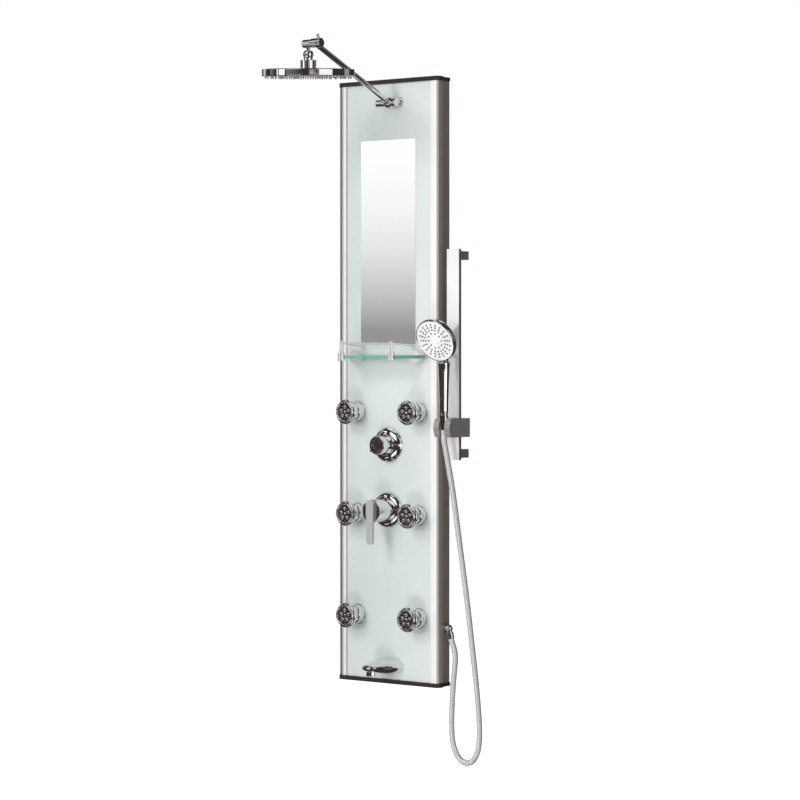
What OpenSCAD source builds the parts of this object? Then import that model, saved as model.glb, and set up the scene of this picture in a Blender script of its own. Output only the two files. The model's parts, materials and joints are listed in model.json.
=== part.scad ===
// Wall-hung shower panel with rain arm, body jets, valves, tub spout, shelf and hand shower.
// X runs to the right, Y towards the wall, Z up. The wall is the plane Y = 0, and the origin is
// the middle of the four wall screws.

/* [Panel] */
// Height of the panel with its end caps
panel_h = 1400; // [1300:1:1500]
// Width of the panel
panel_w = 290; // [276:1:300]
// Depth of the panel from the wall to its front
panel_d = 44; // [42:0.5:50]
// Depth of the front frame that holds the glass
frame_d = 18; // [16:0.5:19]
// Width of each side trim
trim_w = 22.5; // [18:0.5:24]
// Radius of the trim's outer front edge
trim_r = 5.5; // [4:0.5:8]
// Thickness of the frosted glass
glass_t = 6; // [5:0.5:7]
// How far the glass lies behind the front of the trims
glass_setback = 2; // [1.5:0.1:3]
// Width of the mirror
mirror_w = 160; // [120:1:200]
// Height of the mirror's lower edge over the middle of the panel
mirror_low = 86; // [75:1:150]
// Height of the mirror's upper edge over the middle of the panel
mirror_high = 560; // [400:1:600]
// Thickness of the mirror
mirror_t = 1.5; // [1:0.1:3]
// Height of each end cap
cap_h = 10; // [8:0.5:14]
// How far the caps stand proud of the panel
cap_proud = 2; // [1:0.1:3]

/* [Wall fixing] */
// Height between the two rows of wall screws
wall_rows = 1000; // [900:1:1100]
// Width between the wall screws of a bracket
wall_screws = 160; // [140:1:180]
// Diameter of a wall screw hole
wall_hole_d = 6.5; // [5:0.1:8]

/* [Shelf] */
// Height of the shelf's middle over the middle of the panel
shelf_z = 57; // [45:1:60]
// Thickness of the shelf glass
shelf_t = 7; // [6:0.5:8]
// Width of the shelf at its back
shelf_back_w = 228; // [214:1:240]
// Width of the shelf at its front
shelf_front_w = 156; // [150:1:160]
// Depth of the shelf glass
shelf_depth = 81; // [75:1:100]
// Width between the two shelf posts
post_gap = 146; // [140:1:148]
// Height of the gallery rail over the middle of the shelf glass
rail_rise = 31; // [26:1:40]
// Diameter of the gallery rail
rail_d = 4; // [3.5:0.1:5]

/* [Rain arm] */
// Height of the arm's lower pivot over the middle of the panel
arm_z = 643; // [630:1:650]
// How far the lower pivot stands out from the front of the panel
arm_out = 20; // [18:1:30]
// Sideways place of the arm's middle
arm_x = 19.5; // [18:0.5:22]
// Reach of the arm from pivot to pivot, measured outwards
arm_reach = 269; // [262:1:320]
// Rise of the arm from pivot to pivot
arm_rise = 114; // [60:1:117]
// Diameter of the arm tube
arm_d = 12.5; // [11:0.5:13]
// Diameter of the rain head
head_d = 208; // [180:1:212]
// Thickness of the rain head
head_t = 16.5; // [12:0.5:20]
// Lean of the rain head at rest, in degrees
head_lean = 4.5; // [0:0.5:5.5]
// Rings of nozzles on the rain head
head_rings = 6; // [4:1:7]

/* [Body jets] */
// Sideways place of the jets from the middle
jet_x = 90; // [88:1:92]
// Height of the top jets over the middle of the panel
jet_top = -71; // [-80:1:-60]
// Height between one jet and the next
jet_pitch = 236.5; // [220:0.5:240]
// Diameter of a jet's head
jet_head_d = 57.5; // [50:0.5:60]
// Diameter of a jet's wall flange
jet_flange_d = 48; // [46:1:50]

/* [Valves] */
// Height of the diverter over the middle of the panel
diverter_z = -147; // [-152:1:-140]
// Height of the mixer over the middle of the panel
mixer_z = -298; // [-310:1:-290]
// Diameter of the two wall plates
plate_d = 86; // [80:1:92]
// Diameter of the diverter's knob
diverter_d = 43.5; // [40:0.5:46]
// How far the diverter's knob stands out from the glass
diverter_out = 45; // [40:1:55]
// Diameter of the mixer's sleeve
mixer_d = 52; // [48:0.5:56]
// How far the mixer's sleeve stands out from the glass
mixer_out = 65; // [55:1:75]
// Width of the mixer's lever
lever_w = 22; // [18:0.5:24]
// Length of the mixer's lever below the middle of the sleeve
lever_drop = 77; // [60:1:90]
// Outside diameter of the two water inlets, a half inch pipe thread
inlet_d = 20.95; // [20:0.05:22]

/* [Spout] */
// Height of the tub spout over the middle of the panel
spout_z = -658; // [-660:1:-640]
// Width of the spout at the panel
spout_w = 88; // [70:1:90]
// Height of the spout at the panel
spout_h = 42; // [36:1:50]
// How far the spout reaches out from the glass
spout_reach = 86; // [75:1:110]

/* [Slide bar] */
// Sideways place of the slide bar
bar_x = 183; // [178:1:190]
// Width of the slide bar
bar_w = 35.5; // [30:0.5:38]
// Thickness of the slide bar
bar_t = 9; // [8:0.5:10]
// Lowest point of the slide bar
bar_low = -178; // [-185:1:-172]
// Highest point of the slide bar
bar_high = 303; // [200:1:400]
// How far the front of the slide bar stands out from the wall
bar_out = 38; // [36:0.5:42]
// Height of the slider's middle at rest
slider_z = -104; // [-110:0.5:-90]
// Width of the slider
slider_w = 46; // [45:0.5:50]
// Height of the slider
slider_h = 43; // [40:0.5:46]

/* [Hand shower] */
// How far the handle's axis stands out from the wall
handle_out = 72; // [70:0.5:74]
// Diameter of the handle at its top
handle_d = 22; // [20:0.5:24]
// Diameter of the hand shower's head
hand_d = 100; // [85:1:105]
// Height of the hand shower's face over the slider's middle
hand_rise = 197.5; // [190:0.5:215]
// Tilt of the face below level, in degrees
hand_tilt = 26; // [20:1:30]
// Rows of nozzles round the face
hand_rows = 20; // [16:1:24]

/* [Hose] */
// Outside diameter of the hose
hose_d = 13.5; // [12:0.5:14]
// Bore of the hose
hose_bore = 9; // [7:0.5:10]
// Ribs along the hose
hose_ribs = 180; // [100:1:200]

/* [Hidden] */
$fn = 64;

// Overrun of every cut
over = 1;
// Clearance of parts that only sit in each other
seat_gap = 0.1;
// Radial clearance of a shaft that turns in its bore
run_gap = 0.05;
// Clearance between two pieces that move past each other
move_gap = 0.4;

// Planes and heights of the panel
cap_plate = 3;
cap_step = 1.5;
bite = 8;
front_y = -panel_d;
frame_y = front_y + frame_d;
face_y = front_y + glass_setback;
rear_y = face_y + glass_t;
half_w = panel_w / 2;
inner_w = half_w - trim_w;
body_h = panel_h - 2 * cap_plate;
skirt_h = cap_h - cap_plate;
lip_r = 1.5;
chamber_wall = 2;
chamber_front = 5;
// Rear tray
tray_wall = 3;
tray_flange = 2;
groove_in = 1.5;
groove_w = 2;
web_t = 2;
web_gap = 4;
web_y = -web_gap - web_t;
window_w = 150;
window_h = 90;
window_drop = 67;
// Wall brackets and the hooks that carry the panel
bracket_w = 200;
bracket_h = 36;
bracket_t = 2.5;
hook_w = 20;
hook_gap = 70;
hook_t = 4;
hook_lip = 8;
hook_slot_w = 24;
hook_slot_h = 12;
// Water pipes behind the glass
pipe_y = -16;
pipe_d = 12;
pipe_bore = 9;
bend_more = 3;
stub_d = 16;
stud_end = -24;
side_pipe_x = 70;
// Washers and nuts behind the glass
washer_t = 1.5;
nut_t = 6;
stud_d = 20;
arm_stud_d = 12;
clamp_stud_d = 10;
hole_gap = 1;
washer_rim = 4;
nut_rim = 5;
// Shelf hardware
clamp_d = 30;
clamp_l = 18;
clamp_bite = 12;
collar_d = 17;
collar_h = 19;
post_d = 9;
post_front = 4;
post_over = 6.7;
shelf_corner = 6;
clamp_in = 26;
collar_soft = 1.5;
socket_depth = 3;
rail_fall = 6;
rail_gap = 0.3;
rail_in = post_d / 2 - socket_depth + seat_gap;
rail_end = face_y - rail_gap;
shelf_back = face_y - clamp_l + clamp_bite;
shelf_front = shelf_back - shelf_depth;
post_y = shelf_front + post_front;
// Lower joint of the arm
joint_gap = 0.3;
hub_l = 17.4;
hub_d = 26;
hub_soft = 6;
soft_r = 1.2;
end_wall = 3;
spindle_d = 12;
spindle_bore = 6;
flange_d = 18;
flange_t = 4;
rod_d = 10;
rod_up = 4.5;
block_d = 20;
block_l = 12;
knob_d = 17.5;
knob_left = -15.5;
water_d = 5;
arm_wall = 2;
pivot_y = front_y - arm_out;
hub_left = arm_x - hub_l / 2;
hub_right = arm_x + hub_l / 2;
knob_l = hub_left - joint_gap - knob_left;
block_left = hub_right + joint_gap;
rod_x = block_left + block_l / 2;
// The rod comes out of the wall a little higher than the pivot
rod_z = arm_z + rod_up;
arm_pivot = [arm_x, pivot_y, arm_z];
// Upper joint of the arm
elbow_pivot = [arm_x, pivot_y - arm_reach, arm_z + arm_rise];
upper_d = 21;
barrel_d = 18.4;
barrel_left = -13;
barrel_right = hub_left - joint_gap;
clamp_nut_l = 9.8;
lever_rod_d = 6.5;
lever_rod_l = 20;
lever_lean = 25;
// Ball joint over the rain head
stem_d = 9;
ball_d = 17;
ball_drop = 24.5;
seat_r = 10.4;
housing_in = 10.5;
housing_out = 12;
neck_gap = 8.5;
seat_mouth = 7.9;
seat_half = 0.95;
neck_d = 20;
neck_bore = 10;
neck_l = 26;
collar_nut_d = 36;
collar_nut_h = 20.3;
collar_drop = 12.3;
collar_edge = 0.6;
ball_at = [0, elbow_pivot[1], elbow_pivot[2] - ball_drop];
head_dir = 38;
head_top = -(collar_drop + collar_nut_h);
// Rain head
shell_t = 1.5;
head_edge = 2;
boss_d = 28;
face_t = 2.5;
mat_t = 1.2;
nub_d = 3.2;
nub_out = 4.5;
nub_top_share = 0.7;
nozzle_margin = 8;
ring_copies = 6;
fine_sides = 16;
// Body jets
jet_flange_t = 4;
jet_spigot_d = 32;
jet_spigot_l = 10;
jet_ball_r = 15;
jet_ball_out = 20;
jet_collar_d = 45;
jet_collar_end = 24;
jet_collar_soft = 7;
jet_neck_d = 24;
jet_back = 34;
jet_length = 54;
jet_edge = 5;
jet_recess_d = 44;
jet_recess = 5;
petal_count = 5;
petal_ring = 12;
petal_r = 5.5;
petal_sink = 2.5;
// Valves
plate_t = 1.5;
plate_h = 14;
step_d = 50;
step_h = 5;
step_in = 3;
boss_out = 4;
diverter_stem_d = 10;
diverter_boss_d = 28;
diverter_block = [60, 64];
port_step = 18;
tab_d = 6;
tab_l = 5;
tab_angle = 213;
tab_in = 6;
knob_edge = 2;
knob_skirt = 6;
mixer_stem_d = 12;
mixer_boss_d = 30;
mixer_body_d = 50;
mixer_plug = 12;
sleeve_wall = 2;
cross_d = 24;
inlet_x = 45;
inlet_drop = 42;
inlet_thread = 14;
inlet_bore = 12;
inlet_relief = 1;
cross_over = 12;
lever_t = 6;
lever_tip_r = 9;
lever_top = 25;
lug_d = 10;
pin_d = 4;
pin_over = 4;
pin_rise = 18;
pin_sink = 4;
valve_back = -9;
valve_gap = 0.5;
stem_end = -20;
// Spout
spout_tip_r = 22;
spout_flat_share = 0.4;
spout_base_t = 3;
aerator_d = 24;
aerator_neck_d = 20;
aerator_h = 10;
aerator_neck_h = 6;
aerator_hole_d = 3;
aerator_grid_t = 2;
aerator_ring = 5.5;
// Slide bar
post_w = 34;
post_h = 19.5;
post_end = 5;
post_screw_d = 5;
post_screw_l = 20;
bar_edge = 1;
slider_back = 3.5;
slider_front = 9.5;
slider_front_r = 34;
slot_w = 16.5;
bar_y = -bar_out;
post_z = [bar_low + post_end + post_h / 2, bar_high - post_end - post_h / 2];
// Cone nut at the top of the hose
cone_top_d = 22;
cone_low_d = 16.5;
cone_h = 33;
cone_low = 4.5;
cone_z = slider_z - cone_low;
hose_seat = 2;
// Hand shower
handle_low_d = 19;
handle_z = cone_z + cone_h;
drum_t = 14;
drum_soft = 4;
dome_t = 6;
dome_in = 6;
face_lip = 1.4;
face_disc_t = 4;
hand_forward = 33;
neck_r = 6;
neck_half = 7;
neck_in = 14;
neck_back = 13;
cavity_share = 0.62;
hand_cavity = 8;
passage_d = 8;
handle_bore = 12;
row_radius_shares = [0.54, 0.67, 0.8];
inner_share = 0.36;
inner_count = 10;
jet_nub_d = 2.4;
jet_nub_out = 1;
rubber_t = 1;
face_at = [bar_x, -handle_out - hand_forward, slider_z + hand_rise];
// Hose outlet on the panel's side
elbow_z = -565;
elbow_out = 10;
elbow_flange_d = 24;
elbow_flange_t = 3;
elbow_ball_d = 18;
elbow_run = [6.5, 0, -24];
elbow_nut_d = 17;
elbow_nut_l = 15;
spigot_d = 14;
spigot_in = 6;
elbow_at = [half_w + elbow_out, pipe_y, elbow_z];
// Route of the hose from the cone nut to the outlet, chosen by hand for the sizes above
base_top = [183, -72, -109];
base_end = [160, -16, -589];
base_route = [[183, -72, -125], [184.5, -72, -138], [189.5, -72, -160], [198, -72, -200], [208, -72, -250],
    [218, -72, -310], [229, -72, -378], [240, -72, -445], [250, -72, -510], [259, -72, -575],
    [268, -72, -640], [276, -72, -705], [281, -71.5, -765], [281, -71, -799], [273, -67, -831],
    [252, -58, -855], [222, -44, -863], [193, -31, -855], [172, -22, -831], [164, -18, -799],
    [163, -17, -762], [164, -16, -725], [167, -16, -685], [171, -16, -650], [172, -16, -627],
    [168, -16, -608]];
route_n = len(base_route) - 1;
hose_top = [bar_x, -handle_out, cone_z - seat_gap];
hose_end = elbow_at + (1 + move_gap / norm(elbow_run)) * elbow_run;
hose_route = concat([hose_top], [for (k = [0:route_n]) base_route[k]
    + (1 - k / route_n) * (hose_top - base_top) + k / route_n * (hose_end - base_end)], [hose_end]);
hose_sides = 8;
hose_fine = 14;
hose_valley_share = 0.87;
bore_step = 4;
aim = 2;

// The pieces below are built from these small helpers
module out_cyl(d, y, l) {
    translate([0, y, 0]) rotate([90, 0, 0]) cylinder(d = d, h = l);
}
module right_cyl(d, x, l) {
    translate([x, 0, 0]) rotate([0, 90, 0]) cylinder(d = d, h = l);
}
// A round rod from one point to another
module rod(a, b, d) {
    v = b - a;
    translate(a) rotate([0, acos(v[2] / norm(v)), atan2(v[1], v[0])]) cylinder(d = d, h = norm(v));
}
// A box given by its two corners
module span(a, b) {
    translate(a) cube(b - a);
}
// A rounded disc, lying along Z from zero up
module soft_disc(d, h, r) {
    rotate_extrude() {
        square([d / 2 - r, h]);
        translate([0, r]) square([d / 2, h - 2 * r]);
        for (y = [r, h - r]) translate([d / 2 - r, y]) circle(r);
    }
}
// A disc whose far edge alone is rounded
module dome_disc(d, h, r) {
    rotate_extrude() {
        square([d / 2 - r, h]);
        square([d / 2, h - r]);
        translate([d / 2 - r, h - r]) circle(r);
    }
}
// Turns a shape that lies along Z so that it points out of the panel from the glass
module on_glass(x, z) {
    translate([x, face_y, z]) rotate([90, 0, 0]) children();
}

// Panel
module rear_tray() {
    color("#5b5651") difference() {
        union() {
            for (s = [0, 1]) mirror([s, 0, 0]) {
                span([half_w - tray_wall, frame_y, -body_h / 2], [half_w, 0, body_h / 2]);
                span([inner_w, frame_y, -body_h / 2], [half_w, frame_y + tray_flange, body_h / 2]);
            }
            span([-half_w + over, web_y, -body_h / 2], [half_w - over, -web_gap, body_h / 2]);
        }
        for (s = [0, 1]) mirror([s, 0, 0])
            span([half_w - groove_in, frame_y - over, -body_h / 2 - over],
                [half_w + over, frame_y + groove_w, body_h / 2 + over]);
        span([-window_w / 2, web_y - over, mixer_z - window_drop - window_h / 2],
            [window_w / 2, over, mixer_z - window_drop + window_h / 2]);
        for (z = [-wall_rows / 2, wall_rows / 2], x = [-hook_gap / 2, hook_gap / 2])
            span([x - hook_slot_w / 2, web_y - over, z - hook_slot_h],
                [x + hook_slot_w / 2, over, z + seat_gap]);
        translate([0, pipe_y, elbow_z])
            right_cyl(spigot_d + 2 * seat_gap, half_w - tray_wall - over, tray_wall + 2 * over);
    }
}
module trim_outline() {
    difference() {
        union() {
            translate([inner_w, front_y + trim_r]) square([trim_w, frame_d - trim_r]);
            translate([inner_w + lip_r, front_y]) square([trim_w - trim_r - lip_r, frame_d]);
            translate([inner_w, front_y + lip_r]) square([lip_r, frame_d - lip_r]);
            translate([half_w - trim_r, front_y + trim_r]) circle(trim_r);
            translate([inner_w + lip_r, front_y + lip_r]) circle(lip_r);
        }
        translate([inner_w - over, face_y - seat_gap]) square([bite + over, glass_t + 2 * seat_gap]);
        translate([inner_w + bite + chamber_wall, front_y + chamber_front])
            square([trim_w - bite - 2 * chamber_wall, frame_d - chamber_front - chamber_wall]);
    }
}
module side_trim() {
    translate([0, 0, -body_h / 2]) linear_extrude(body_h) trim_outline();
}
module right_profile() {
    color("#d9dad8") side_trim();
}
module left_profile() {
    color("#d9dad8") mirror([1, 0, 0]) side_trim();
}
module jet_places() {
    for (x = [-jet_x, jet_x], k = [0:2]) translate([x, 0, jet_top - k * jet_pitch]) children();
}
module clamp_places() {
    for (s = [-1, 1]) translate([s * (shelf_back_w / 2 - clamp_in), 0, shelf_z]) children();
}
module glass_panel() {
    glass_w = inner_w + bite - joint_gap;
    color("#d6e0dc") difference() {
        span([-glass_w, face_y, -body_h / 2 + seat_gap], [glass_w, rear_y, body_h / 2 - seat_gap]);
        jet_places() out_cyl(stud_d + hole_gap, rear_y + over, glass_t + 2 * over);
        clamp_places() out_cyl(clamp_stud_d + hole_gap, rear_y + over, glass_t + 2 * over);
        translate([rod_x, 0, rod_z]) out_cyl(arm_stud_d + hole_gap, rear_y + over, glass_t + 2 * over);
        translate([0, 0, spout_z]) out_cyl(stud_d + hole_gap, rear_y + over, glass_t + 2 * over);
        translate([0, 0, mixer_z]) out_cyl(mixer_boss_d + hole_gap, rear_y + over, glass_t + 2 * over);
        translate([0, 0, diverter_z])
            out_cyl(diverter_boss_d + hole_gap, rear_y + over, glass_t + 2 * over);
    }
}
module mirror_plate() {
    color("#9a9a9a") span([-mirror_w / 2, face_y - mirror_t, mirror_low], [mirror_w / 2, face_y, mirror_high]);
}
module cap_outline(grow, back) {
    r = trim_r + grow;
    front = front_y - grow;
    for (s = [0, 1]) mirror([s, 0]) {
        translate([-over, front + r]) square([half_w + grow + over, back - front - r]);
        translate([-over, front]) square([half_w + grow - r + over, r]);
        translate([half_w + grow - r, front + r]) circle(r);
    }
}
module end_cap() {
    color("#2b2725") difference() {
        union() {
            linear_extrude(cap_h) cap_outline(cap_proud, frame_y + groove_w / 2);
            linear_extrude(cap_h - cap_step) cap_outline(cap_proud, 0);
        }
        translate([0, 0, -over]) linear_extrude(skirt_h + over) cap_outline(seat_gap, over);
    }
}
module top_cap() {
    translate([0, 0, panel_h / 2 - cap_h]) end_cap();
}
module bottom_cap() {
    mirror([0, 0, 1]) top_cap();
}
module wall_brackets() {
    color("silver") for (z = [-wall_rows / 2, wall_rows / 2]) difference() {
        union() {
            span([-bracket_w / 2, -bracket_t, z - bracket_h / 2], [bracket_w / 2, 0, z + bracket_h / 2]);
            for (x = [-hook_gap / 2, hook_gap / 2]) {
                span([x - hook_w / 2, web_y - hook_t, z - hook_t], [x + hook_w / 2, -bracket_t / 2, z]);
                span([x - hook_w / 2, web_y - hook_t, z - hook_t],
                    [x + hook_w / 2, web_y - move_gap, z + hook_lip]);
            }
        }
        for (x = [-wall_screws / 2, wall_screws / 2])
            translate([x, 0, z]) out_cyl(wall_hole_d, over, bracket_t + 2 * over);
    }
}

// Shelf
module shelf_glass() {
    color("#8fd0b8") translate([0, 0, shelf_z - shelf_t / 2]) linear_extrude(shelf_t) hull() {
        for (s = [-1, 1]) {
            translate([s * (shelf_back_w / 2 - shelf_corner), shelf_back - shelf_corner])
                circle(shelf_corner, $fn = 32);
            translate([s * (shelf_front_w / 2 - shelf_corner), shelf_front + shelf_corner])
                circle(shelf_corner, $fn = 32);
        }
    }
}
module shelf_clamps() {
    color("silver") clamp_places() difference() {
        union() {
            out_cyl(clamp_d, face_y, clamp_l);
            out_cyl(clamp_stud_d, stud_end, stud_end - face_y + over);
        }
        span([-clamp_d, face_y - clamp_l - over, -shelf_t / 2 - seat_gap],
            [clamp_d, shelf_back + seat_gap, shelf_t / 2 + seat_gap]);
    }
}
module post_places() {
    for (s = [0, 1]) mirror([s, 0, 0]) translate([post_gap / 2, post_y, shelf_z]) children();
}
module shelf_posts() {
    color("silver") post_places() difference() {
        union() {
            translate([0, 0, -collar_h / 2]) soft_disc(collar_d, collar_h, collar_soft);
            cylinder(d = post_d, h = rail_rise + post_over - post_d / 2);
            translate([0, 0, rail_rise + post_over - post_d / 2]) sphere(d = post_d);
        }
        span([-collar_d, -post_front - seat_gap, -shelf_t / 2 - seat_gap],
            [collar_d, collar_d, shelf_t / 2 + seat_gap]);
        translate([0, 0, rail_rise]) {
            right_cyl(rail_d + 2 * seat_gap, -post_d, post_d / 2 + socket_depth);
            rod([0, rail_in - seat_gap, 0], [0, rail_end - post_y, -rail_fall], rail_d + 2 * seat_gap);
        }
    }
}
module shelf_rail() {
    color("silver") translate([0, post_y, shelf_z + rail_rise]) {
        right_cyl(rail_d, -post_gap / 2 + rail_in, post_gap - 2 * rail_in);
        for (s = [-1, 1]) translate([s * post_gap / 2, 0, 0])
            rod([0, rail_in, 0], [0, rail_end - post_y, -rail_fall], rail_d);
    }
}

// Rain arm, from the wall plate to the ball joint
module arm_flange() {
    color("silver") difference() {
        union() {
            on_glass(rod_x, rod_z) soft_disc(flange_d, flange_t, soft_r);
            translate([rod_x, 0, rod_z]) {
                out_cyl(rod_d, face_y, face_y - pivot_y);
                out_cyl(arm_stud_d, stud_end, stud_end - face_y + over);
            }
            translate([block_left, pivot_y, arm_z]) rotate([0, 90, 0]) soft_disc(block_d, block_l, soft_r);
        }
        translate([rod_x, 0, rod_z]) out_cyl(water_d, stud_end + over, stud_end + over - pivot_y);
        translate([0, pivot_y, arm_z])
            right_cyl(spindle_d + 2 * run_gap, block_left - over, block_l + over - end_wall);
    }
}
module arm_spindle() {
    left = knob_left + end_wall + seat_gap;
    right = block_left + block_l - end_wall - seat_gap;
    color("silver") translate([0, pivot_y, arm_z]) difference() {
        right_cyl(spindle_d, left, right - left);
        right_cyl(spindle_bore, arm_x, right - arm_x + over);
        translate([arm_x + water_d, -spindle_d, 0]) rotate([-90, 0, 0]) cylinder(d = water_d, h = 2 * spindle_d);
    }
}
module arm_knob() {
    color("silver") translate([0, pivot_y, arm_z]) difference() {
        translate([knob_left, 0, 0]) rotate([0, 90, 0]) soft_disc(knob_d, knob_l, soft_r);
        right_cyl(spindle_d + 2 * run_gap, knob_left + end_wall, knob_l);
    }
}
module shower_arm() {
    color("silver") difference() {
        union() {
            translate([hub_left, pivot_y, arm_z]) rotate([0, 90, 0]) soft_disc(hub_d, hub_l, hub_soft);
            rod(arm_pivot, elbow_pivot, arm_d);
            translate(elbow_pivot) translate([-hub_l / 2, 0, 0]) rotate([0, 90, 0])
                soft_disc(upper_d, hub_l, soft_r);
        }
        rod(arm_pivot, elbow_pivot, arm_d - 2 * arm_wall);
        translate(arm_pivot) right_cyl(spindle_d + 2 * run_gap, -hub_l, 2 * hub_l);
        translate(elbow_pivot) right_cyl(spindle_d + 2 * run_gap, -hub_l, 2 * hub_l);
    }
}
module elbow_barrel() {
    tip = hub_right + joint_gap + clamp_nut_l - end_wall - joint_gap;
    color("silver") translate([0, elbow_pivot[1], elbow_pivot[2]]) difference() {
        union() {
            translate([barrel_left, 0, 0]) rotate([0, 90, 0])
                soft_disc(barrel_d, barrel_right - barrel_left, soft_r);
            right_cyl(spindle_d, 0, tip);
        }
        translate([0, 0, -barrel_d]) cylinder(d = stem_d + 2 * seat_gap, h = barrel_d);
        right_cyl(water_d, 0, arm_x + water_d);
        translate([arm_x, 0, -spindle_d]) cylinder(d = water_d, h = 2 * spindle_d);
    }
}
// Clamping nut with its lever, on the end of the upper spindle
module elbow_lever() {
    left = hub_right + joint_gap;
    root = spindle_d / 2 + soft_r;
    color("silver") translate([0, elbow_pivot[1], elbow_pivot[2]]) difference() {
        union() {
            translate([left, 0, 0]) rotate([0, 90, 0]) soft_disc(upper_d, clamp_nut_l, soft_r);
            translate([left + clamp_nut_l / 2, 0, 0]) rotate([lever_lean, 0, 0]) translate([0, 0, root])
                soft_disc(lever_rod_d, lever_rod_l - root, soft_r);
        }
        right_cyl(spindle_d + 2 * run_gap, left - over, clamp_nut_l + over - end_wall);
    }
}
module ball_stud() {
    color("silver") difference() {
        union() {
            translate(ball_at) sphere(d = ball_d);
            translate(ball_at) cylinder(d = stem_d, h = ball_drop - seat_gap);
        }
        translate(ball_at) translate([0, 0, -ball_d]) cylinder(d = water_d, h = ball_drop + 2 * ball_d);
    }
}

// Everything on the rain head leans about the ball's middle
module at_head() {
    translate(ball_at) rotate(a = head_lean, v = [cos(head_dir), sin(head_dir), 0]) children();
}
module ball_ring(out_r) {
    difference() {
        sphere(out_r);
        sphere(ball_d / 2 + run_gap);
    }
}
module ball_seat_lower() {
    color("#e8e4d8") at_head() difference() {
        ball_ring(seat_r);
        span([-seat_r, -seat_r, -seat_half], [seat_r, seat_r, seat_r]);
        translate([0, 0, -seat_r]) cylinder(r = seat_mouth / 2, h = seat_r);
    }
}
module ball_seat_upper() {
    color("#e8e4d8") at_head() difference() {
        ball_ring(seat_r);
        span([-seat_r, -seat_r, -seat_r], [seat_r, seat_r, seat_half]);
        cylinder(r = seat_mouth, h = seat_r);
    }
}
module swivel_housing() {
    color("silver") at_head() difference() {
        union() {
            sphere(housing_out);
            translate([0, 0, -neck_l - housing_out]) cylinder(d = neck_d, h = neck_l + housing_out / 2);
        }
        sphere(housing_in);
        cylinder(r = neck_gap, h = housing_out + over);
        translate([0, 0, -neck_l - 2 * housing_out]) cylinder(d = neck_bore, h = neck_l + 2 * housing_out);
    }
}
module collar_nut() {
    color("silver") at_head() translate([0, 0, head_top]) difference() {
        soft_disc(collar_nut_d, collar_nut_h, collar_edge);
        translate([0, 0, -over]) cylinder(d = neck_d + 2 * seat_gap, h = collar_nut_h + 2 * over);
    }
}
module rain_shell() {
    color("silver") at_head() translate([0, 0, head_top - head_t]) difference() {
        union() {
            difference() {
                soft_disc(head_d, head_t, head_edge);
                translate([0, 0, -over]) cylinder(d = head_d - 2 * shell_t, h = head_t - shell_t + over);
            }
            translate([0, 0, face_t + mat_t + over]) cylinder(d = boss_d, h = head_t - face_t - mat_t - over);
        }
        translate([0, 0, face_t + mat_t]) cylinder(d = neck_d + 2 * seat_gap, h = head_t);
    }
}
module nozzle_places() {
    for (k = [1:head_rings]) for (j = [0:k * ring_copies - 1])
        rotate([0, 0, (j + k / 2) * 360 / (k * ring_copies)])
            translate([k * (head_d / 2 - nozzle_margin) / head_rings, 0, 0]) children();
}
module rain_face() {
    color("#c9cac8") at_head() translate([0, 0, head_top - head_t]) difference() {
        cylinder(d = head_d - 2 * shell_t - 2 * seat_gap, h = face_t);
        translate([0, 0, -over]) nozzle_places()
            cylinder(d = nub_d + 2 * seat_gap, h = face_t + 2 * over, $fn = fine_sides);
    }
}
module rain_nozzles() {
    color("#b9bcbb") at_head() translate([0, 0, head_top - head_t]) {
        translate([0, 0, face_t + seat_gap]) cylinder(d = head_d - 4 * shell_t, h = mat_t);
        nozzle_places() translate([0, 0, -nub_out])
            cylinder(d1 = nub_d * nub_top_share, d2 = nub_d, h = nub_out + face_t + mat_t / 2,
                $fn = fine_sides);
    }
}

// Body jets: the base is fixed, the collar turns on it, and the head tilts in the collar
module jet_bases() {
    color("silver") jet_places() difference() {
        union() {
            on_glass(0, 0) soft_disc(jet_flange_d, jet_flange_t, jet_flange_t / 3);
            out_cyl(jet_spigot_d, face_y, jet_spigot_l);
            out_cyl(stud_d, stud_end, stud_end - face_y + over);
        }
        translate([0, face_y - jet_ball_out, 0]) sphere(jet_ball_r + move_gap);
        out_cyl(pipe_bore, stud_end + over, stud_end + 2 * over - face_y + jet_ball_out);
    }
}
module at_jet(n) {
    on_glass(n <= 3 ? -jet_x : jet_x, jet_top - ((n - 1) % 3) * jet_pitch) children();
}
module jet_collar(n) {
    low = jet_flange_t + move_gap;
    color("silver") at_jet(n) difference() {
        translate([0, 0, low]) dome_disc(jet_collar_d, jet_collar_end - low, jet_collar_soft);
        cylinder(d = jet_spigot_d + 2 * move_gap, h = jet_spigot_l + move_gap);
        translate([0, 0, jet_ball_out]) sphere(jet_ball_r + move_gap);
    }
}
module jet_head(n) {
    floor_z = jet_length - jet_recess;
    color("silver") at_jet(n) {
        difference() {
            union() {
                translate([0, 0, jet_ball_out]) sphere(jet_ball_r);
                translate([0, 0, jet_ball_out]) cylinder(d = jet_neck_d, h = jet_back - jet_ball_out + over);
                translate([0, 0, jet_back]) soft_disc(jet_head_d, jet_length - jet_back, jet_edge);
            }
            translate([0, 0, floor_z]) cylinder(d = jet_recess_d, h = jet_recess + over);
            cylinder(d = water_d, h = floor_z - petal_sink);
        }
        // The nozzle insert is a loose piece in the head's recess
        translate([0, 0, floor_z + seat_gap]) difference() {
            union() {
                cylinder(d = jet_recess_d - 2 * seat_gap, h = petal_sink / 2);
                for (k = [0:petal_count - 1]) rotate([0, 0, 90 + k * 360 / petal_count])
                    translate([petal_ring, 0, -petal_sink]) sphere(petal_r);
                cylinder(d = petal_r, h = jet_recess / 2);
            }
            translate([0, 0, -jet_recess_d]) cylinder(d = jet_recess_d, h = jet_recess_d);
        }
    }
}
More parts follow.
